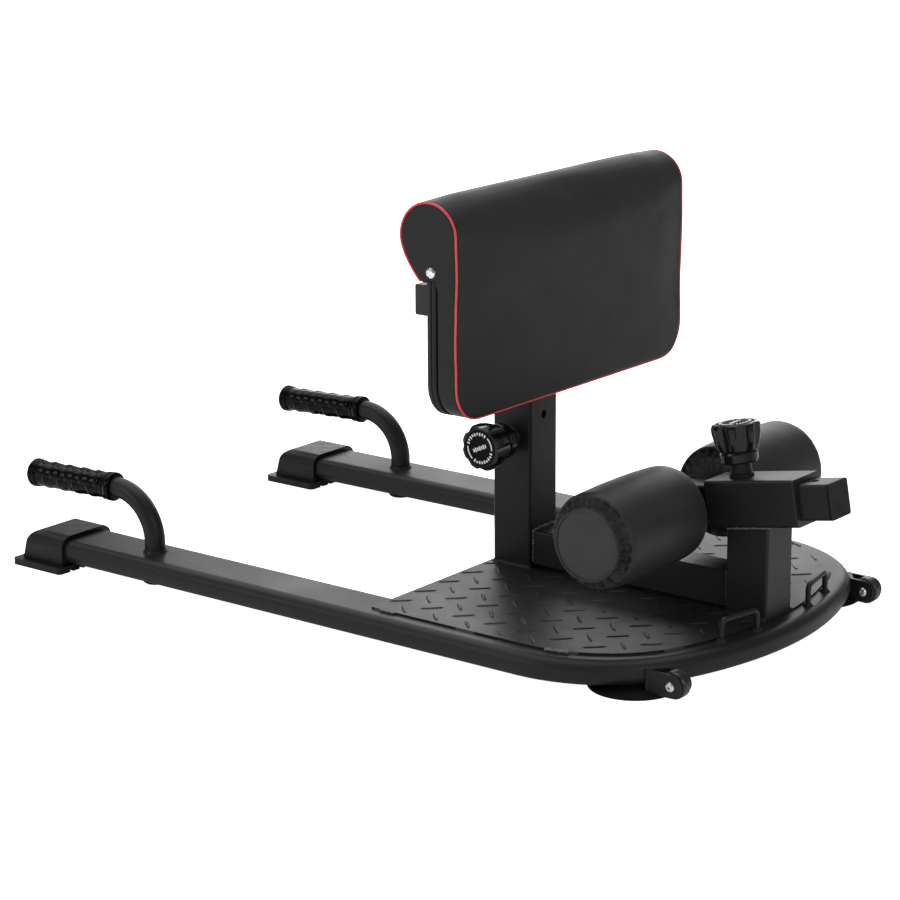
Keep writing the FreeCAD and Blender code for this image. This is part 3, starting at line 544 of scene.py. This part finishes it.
def plate_edge(margin):
    """Test whether a point lies on the plate, at least margin inside its edge."""
    half, front = plate_hi.y, plate_hi.x
    corner_x, corner_y = PLATE_CORNER
    bow_x = front - BOW_R

    def inside(x, y):
        y = abs(y)
        if x < plate_lo.x + 0.0005 or y > half - margin:
            return False
        if x <= corner_x:
            return True
        if math.hypot(x - bow_x, y) > BOW_R - margin:
            return False
        return y < corner_y or math.hypot(x - corner_x, y - corner_y) < PLATE_CORNER_R - margin
    return inside


def checker_bar(cx, cy, angle, top):
    """Raised lozenge with sloping ends and sides."""
    along = Vector((cos(angle), sin(angle), 0))
    across = Vector((-sin(angle), cos(angle), 0))
    verts, rows = [], 9
    for i in range(rows):
        t = -1 + 2 * i / (rows - 1)
        swell = math.sqrt(max(0.0, 1 - abs(t) ** 2.2))
        for side, lift in ((-1, 0), (-0.55, 0.6), (0, 1), (0.55, 0.6), (1, 0)):
            offset = along * (t * BAR_LENGTH / 2) + across * (side * max(0.15, swell) * BAR_WIDTH / 2)
            height = BAR_RISE * lift * min(1, 1.4 * swell)
            x = max(cx + offset.x, plate_lo.x + 0.0003)
            verts.append((x, cy + offset.y, top - 0.0004 + height + (0.0004 if lift else 0)))
    faces = grid_faces(rows, 5, closed_cols=False)
    return verts, faces


def past_rear_edge(x, y):
    """Bars may run off the straight rear edge, where they are cut short."""
    return x < plate_lo.x + 0.001 and abs(y) < 0.23


def make_checker():
    """Two sets of bars at right angles, clear of the rim and the posts."""
    inside = plate_edge(0.002)
    posts = [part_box(n) for n in ("main_post", "front_post")]
    bars = []
    for kind, angle in ((0, pi / 4), (0.5, -pi / 4)):
        for i in range(-2, 12):
            for j in range(-8, 9):
                cx = plate_lo.x + 0.012 + (i + kind) * BAR_PITCH
                cy = (j + kind) * BAR_PITCH + 0.010
                reach = BAR_LENGTH / 2
                ends = [(cx + s * cos(angle) * reach, cy + s * sin(angle) * reach) for s in (-1, 1)]
                if not inside(cx, cy) or not all(inside(x, y) or past_rear_edge(x, y) for x, y in ends):
                    continue
                if any(lo.x - POST_GAP < cx < hi.x + POST_GAP and lo.y - POST_GAP < cy < hi.y + POST_GAP
                       for lo, hi in posts):
                    continue
                bars.append(checker_bar(cx, cy, angle, plate_hi.z))
    add_mesh("checker_bars", *merge(bars), "base", "frame_black", "plate")


make_checker()


# ---- rollers ----
PLEATS = 23
DISC_EDGE = 0.0362              # radius where the cover meets the end disc
INNER_ROUND, OUTER_ROUND = 0.0115, 0.0125
FULLNESS = 0.0004               # the cover stands this far off the foam
BELLY = 0.0027                  # swell at mid length
GATHER_DEPTH = 0.0078


def roller_cover(name, node, body, side):
    """Leatherette sleeve, gathered at both ends, and the rim of its end disc."""
    lo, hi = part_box(node)
    centre = (lo + hi) / 2
    inner = lo.y if side > 0 else hi.y
    length = hi.y - lo.y
    big = (hi.z - lo.z) / 2 + FULLNESS
    profile = [(0.0160, 0.0004), (0.030, 0.0002), (0.037, 0.0002)]
    for i in range(1, 15):
        a = radians(90 * i / 14)
        profile.append((0.037 + (big - 0.037) * sin(a) ** 0.9, INNER_ROUND * (1 - cos(a))))
    for i in range(1, 37):
        t = i / 36
        swell = BELLY * sin(pi * (0.06 + 0.88 * t)) ** 0.7
        profile.append((big - FULLNESS + swell, INNER_ROUND + (length - INNER_ROUND - OUTER_ROUND) * t))
    for i in range(1, 15):
        a = radians(90 * i / 14)
        profile.append((big - FULLNESS - (big - 0.0375) * (1 - cos(a)) ** 0.9,
                        length - OUTER_ROUND + OUTER_ROUND * sin(a)))
    profile += [(DISC_EDGE, length - 0.0006), (0.034, length - 0.0030), (0.0160, length - 0.0030)]

    def shape(r, t, angle):
        """Gathers: hollows between thin ridges on the end faces, closed up before the round of the rim."""
        wander = 0.35 * sin(3 * angle + side) + 0.25 * sin(7 * angle + 1.3)
        fold = abs(sin(PLEATS * angle / 2 + wander))
        hollow = fold ** 0.5 * ease((r - DISC_EDGE) / 0.002)
        hollow *= 1 - ease((r - 0.0445) / (big - 0.0452))
        hollow *= 0.8 + 0.2 * sin(5 * angle + 2.1 * side)
        at_end = 1 if t < 0.0125 or t > length - 0.0135 else 0
        wrinkle = 0.00016 * sin(5 * angle + 40 * t) * sin(90 * t + 2 * angle) * ease((r - 0.038) / 0.004)
        sign = 1 if t < length / 2 else -1
        return r - 0.0012 * hollow * at_end + wrinkle, t + sign * GATHER_DEPTH * hollow * at_end

    verts, faces = lathe(profile, 276, (centre.x, inner, centre.z), (0, side, 0), (0, 0, 1), shape)
    cover = add_mesh(name, [v + Vector((0, 0, 0.0008)) for v in verts], faces, body, "roller_cover")
    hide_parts(node)
    disc_lo, disc_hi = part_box(node.replace("foam", "disc"))
    rim, face_y = (disc_hi.z - disc_lo.z) / 2 - 0.0009, disc_hi.y if side > 0 else disc_lo.y
    circle = [(centre.x + rim * cos(radians(4 * i)), face_y - side * 0.0003,
               centre.z + rim * sin(radians(4 * i))) for i in range(90)]
    add_mesh(name.replace("cover", "rim"), *tube(circle, 0.0009, 10, closed=True), body,
             "plastic_black", "disc")


for side_name, side_sign in (("left", 1), ("right", -1)):
    roller_cover("roller_cover_" + side_name, "roller_foam_" + side_name, side_name + "_roller",
                 side_sign)


# ---- hand grips ----
GRIP_DROP = radians(1.7)
GRIP_DIR = Vector((-cos(GRIP_DROP), 0, -sin(GRIP_DROP)))
GRIP_UP = Vector((-sin(GRIP_DROP), 0, cos(GRIP_DROP)))
GRIP_LENGTH, GRIP_RING, GRIP_TIP = 0.1315, 0.0165, 0.1325
HANDLE_TOP_X, HANDLE_Y, HANDLE_BEND_Z, HANDLE_BEND_R = -0.330, 0.220, 0.046, 0.055
SCALE_PITCH, SCALE_RISE, SCALES_ROUND = 0.0235, 0.0024, 4


def hand_grip(name, node, side):
    """Moulded sleeve with two rings at each end and scales between them."""
    bend_end = Vector((HANDLE_TOP_X, side * HANDLE_Y, HANDLE_BEND_Z)) + GRIP_UP * HANDLE_BEND_R
    tip = bend_end + GRIP_DIR * GRIP_TIP
    length, ring = GRIP_LENGTH, GRIP_RING
    core = ring - 0.0026
    profile = [(0.0006, 0.0), (0.004, 0.0002), (0.009, 0.0008), (0.0122, 0.0018),
               (ring - 0.0012, 0.0034), (ring, 0.005), (ring, 0.0078), (ring - 0.0012, 0.0088),
               (ring - 0.0016, 0.0096), (ring - 0.0006, 0.0106), (ring - 0.0006, 0.0124), (core, 0.0134)]
    rows = 150
    start, end = 0.0142, length - 0.0135
    profile += [(core, start + (end - start) * i / rows) for i in range(rows + 1)]
    profile += [(core, length - 0.0128), (ring - 0.0004, length - 0.0118), (ring - 0.0004, length - 0.0098),
                (ring - 0.0018, length - 0.0088), (ring - 0.0018, length - 0.0080), (ring, length - 0.0068),
                (ring, length - 0.0018), (ring - 0.001, length - 0.0004), (0.0125, length), (0.0111, length)]

    def shape(r, t, angle):
        """Overlapping scales in a braid between the end rings."""
        if r > core + 1e-6 or not start <= t <= end:
            return r, t
        u = (t - start) / SCALE_PITCH
        v = angle * SCALES_ROUND / (2 * pi)
        row = math.floor(u + 0.5 * (math.floor(v) % 2))
        a = (u + 0.5 * (math.floor(v) % 2)) - row
        b = v - math.floor(v)
        across = sin(pi * b) ** 0.7
        ramp = (1 - a) ** 0.8 * min(1.0, a * 9)
        vein = 0.12 * sin(2 * pi * (a * 2 + b))
        fade = min(1.0, (t - start) / 0.003, (end - t) / 0.003)
        return r + SCALE_RISE * fade * (across * ramp + vein * across * 0.6), t

    verts, faces = lathe(profile, 144, tip, -GRIP_DIR, GRIP_UP, shape)
    grip = add_mesh(name, verts, faces, "base", "grip_rubber")
    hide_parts(node)


for side_name, side_sign in (("left", 1), ("right", -1)):
    hand_grip("grip_sleeve_" + side_name, "handle_grip_" + side_name, side_sign)


# ---- weld beads ----
def weld(points, radius):
    """Lumpy bead of weld along a list of points."""
    path = [Vector(p) for p in resample(points, 0.0012)]
    lumps = []
    for i, p in enumerate(path):
        shift = Vector((sin(2.3 * i), cos(1.7 * i + 1), sin(1.1 * i + 2))) * radius * 0.16
        lumps.append(p + shift)

    def size(t):
        k = t * (len(path) - 1)
        taper = 0.5 + 0.5 * min(1, 12 * t, 12 * (1 - t))
        return radius * (0.85 + 0.2 * sin(1.9 * k) + 0.12 * sin(0.71 * k + 1)) * taper
    return tube(lumps, size, 10)


def make_welds():
    """Beads round the spine's ends and under the sleeve, and the stitches that hold the plate."""
    lo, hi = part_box("spine_tube")
    post_lo, post_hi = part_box("front_post")
    beads = []
    for x, out in ((lo.x, 0.0008), (hi.x, -0.0008)):
        beads.append(weld([(x + out, lo.y - 0.001, hi.z), (x + out, hi.y + 0.001, hi.z)], 0.0033))
        for y in (lo.y, hi.y):
            beads.append(weld([(x + out, y, lo.z + 0.004), (x + out, y, hi.z - 0.002)], 0.0018))
    def under_sleeve(x, y):
        return (x, y, 0.1582 - 0.0254 + (x - 0.3788) * 0.17633)

    for y in (post_lo.y, post_hi.y):
        beads.append(weld([under_sleeve(post_lo.x, y), under_sleeve(post_hi.x, y)], 0.0011))
    beads.append(weld([under_sleeve(post_hi.x, post_lo.y), under_sleeve(post_hi.x, post_hi.y)], 0.0013))
    # the beads and the stitches below take the weld look, whose light grey is a painted highlight
    add_mesh("spine_weld_beads", *merge(beads), "base", "frame_black", "weld")
    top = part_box("foot_plate")[1].z - 0.0006
    stitches = []
    for side in (1, -1):
        arc = [(PLATE_CORNER[0] + 0.1392 * cos(radians(a)),
                side * (PLATE_CORNER[1] + 0.1392 * sin(radians(a))), top) for a in range(70, 82)]
        stitches.append(weld(arc, 0.0021))
        stitches.append(weld([(0.060, side * 0.2332, top), (0.080, side * 0.2332, top)], 0.0017))
    add_mesh("plate_weld_stitches", *merge(stitches), "base", "frame_black", "weld")


make_welds()


# ---- knob faces ----
TICKS = 9


def ring_arc(centre, out, right, r0, r1, start, end, lift):
    """Flat raised arc on a face, angles in degrees."""
    up = out.cross(right)
    steps = max(2, round(abs(end - start) / 4))
    verts = []
    for i in range(steps + 1):
        a = radians(start + (end - start) * i / steps)
        direction = right * cos(a) + up * sin(a)
        verts += [centre + direction * r0 + out * -0.0002, centre + direction * r0 + out * lift,
                  centre + direction * r1 + out * lift, centre + direction * r1 + out * -0.0002]
    faces = grid_faces(steps + 1, 4)
    faces += [[0, 1, 2, 3], [4 * steps + k for k in (3, 2, 1, 0)]]
    return verts, faces


def knob_face(name, body, centre, out, right):
    """A dial of generic marks on the knob's flat face: two arcs, a ring of ticks and a row of bars."""
    film = [(0.001, 0), (0.0200, 0), (0.0204, -0.0002), (0.0204, -0.0006)]
    add_mesh(name.replace("marks", "label"), *lathe(film, 64, centre + out * 0.0002, out, right),
             body, "knob_plastic", "label", smooth=False)
    centre = centre + out * 0.0003
    parts = []
    up = out.cross(right)
    for start, end in ((-26, 26), (154, 206)):
        parts.append(ring_arc(centre, out, right, 0.0152, 0.0166, start, end, 0.0003))
    for k in range(TICKS):
        for base in (40, 220):
            a = base + 100 * k / (TICKS - 1)
            tall = 0.0008 * (k % 2)
            parts.append(ring_arc(centre, out, right, 0.0138 + tall, 0.0172, a - 3, a + 3, 0.0003))
    for k in range(-3, 4):
        low = centre + right * (0.0028 * k)
        tall = 0.0024 - 0.0006 * (k % 2)
        corners = [low + right * sx * 0.0008 + up * sy * tall
                   for sx, sy in ((-1, -1), (1, -1), (1, 1), (-1, 1))]
        verts = [p + out * -0.0002 for p in corners] + [p + out * 0.0003 for p in corners]
        sides = [[i, (i + 1) % 4, (i + 1) % 4 + 4, i + 4] for i in range(4)]
        parts.append((verts, [[3, 2, 1, 0], [4, 5, 6, 7]] + sides))
    add_mesh(name, *merge(parts), body, "knob_plastic", "mark", smooth=False)


TILT = radians(10)
post_face = Vector((0.0775, -0.025, 0.182))
knob_face("knob_marks_post", "post_knob", post_face + Vector((0, -0.057, 0)), Vector((0, -1, 0)),
          Vector((cos(radians(25)), 0, sin(radians(25)))))
sleeve_up = Vector((-sin(TILT), 0, cos(TILT)))
sleeve_dir = Vector((cos(TILT), 0, sin(TILT)))
sleeve_face = Vector((0.3788, 0, 0.1582)) + sleeve_dir * -0.019 + sleeve_up * 0.025
knob_face("knob_marks_sleeve", "sleeve_knob", sleeve_face + sleeve_up * 0.057, sleeve_up, Vector((0, 1, 0)))


# ---- floor, light and camera ----
WORLD, OVERHEAD = 0.24, 2.2           # strengths of the world and of the sun overhead
BACK, RIGHT, FRONT = 46, 15, 24       # watts of the three soft lights
GLOW = 0.1                            # light the floor gives back to the object


def make_floor():
    """White paper; it glows to the camera only, so it shows no shadow, as in a cut-out picture."""
    bpy.ops.mesh.primitive_plane_add(size=60, location=(0, 0, -0.0005))
    floor = bpy.context.object
    floor.name = "floor"
    n = Nodes("floor_paper")
    n.colour(n.noise(0.4, 2), (0.86, 0.86, 0.86), (0.88, 0.88, 0.88))
    n.shader.inputs["Emission Color"].default_value = (1, 1, 1, 1)
    seen = n.tree.nodes.new("ShaderNodeLightPath").outputs["Is Camera Ray"]
    n.link(n.spread(seen, GLOW, 1.0), n.shader.inputs["Emission Strength"])
    floor.data.materials.append(n.plain(Roughness=0.9, Specular_IOR_Level=0.1))


def area_light(name, place, target, size, power):
    data = bpy.data.lights.new(name, "AREA")
    data.shape = "RECTANGLE"
    data.size, data.size_y = size
    data.energy = power
    light = bpy.data.objects.new(name, data)
    light.location = place
    light.rotation_euler = (Vector(target) - Vector(place)).to_track_quat("-Z", "Y").to_euler()
    bpy.context.collection.objects.link(light)


def make_light():
    world = bpy.data.worlds.new("studio")
    world.use_nodes = True
    world.node_tree.nodes["Background"].inputs["Color"].default_value = (1, 1, 1, 1)
    world.node_tree.nodes["Background"].inputs["Strength"].default_value = WORLD
    bpy.context.scene.world = world
    data = bpy.data.lights.new("overhead", "SUN")
    data.energy, data.angle = OVERHEAD, radians(70)
    sun = bpy.data.objects.new("overhead", data)
    sun.rotation_euler = Vector((0.25, -0.2, -1)).to_track_quat("-Z", "Y").to_euler()
    bpy.context.collection.objects.link(sun)
    area_light("back_soft", (-1.75, 3.45, 1.35), (0.0, 0.1, 0.25), (3.0, 1.7), BACK)
    area_light("right_soft", (2.7, -1.0, 1.2), (0.1, 0, 0.1), (1.2, 0.9), RIGHT)
    area_light("front_soft", (-1.6, -2.8, 1.5), (0, 0, 0.15), (1.4, 1.4), FRONT)


def make_camera():
    azimuth, elevation, roll = radians(37.8), radians(15.1), radians(-0.3)
    target, distance = Vector((-0.0267, 0, 0.1457)), 3.1428
    back = Vector((sin(azimuth) * cos(elevation), -cos(azimuth) * cos(elevation), sin(elevation)))
    right = Vector((cos(azimuth), sin(azimuth), 0))
    up = back.cross(right)
    turned_right = right * cos(roll) + up * sin(roll)
    turned_up = up * cos(roll) - right * sin(roll)
    data = bpy.data.cameras.new("camera")
    data.lens, data.sensor_width = 112.35, 36
    camera = bpy.data.objects.new("camera", data)
    matrix = Matrix((turned_right, turned_up, back)).transposed().to_4x4()
    matrix.translation = target + back * distance
    camera.matrix_world = matrix
    bpy.context.collection.objects.link(camera)
    bpy.context.scene.camera = camera


make_floor()
make_light()
make_camera()
bpy.context.scene.view_settings.view_transform = "Standard"
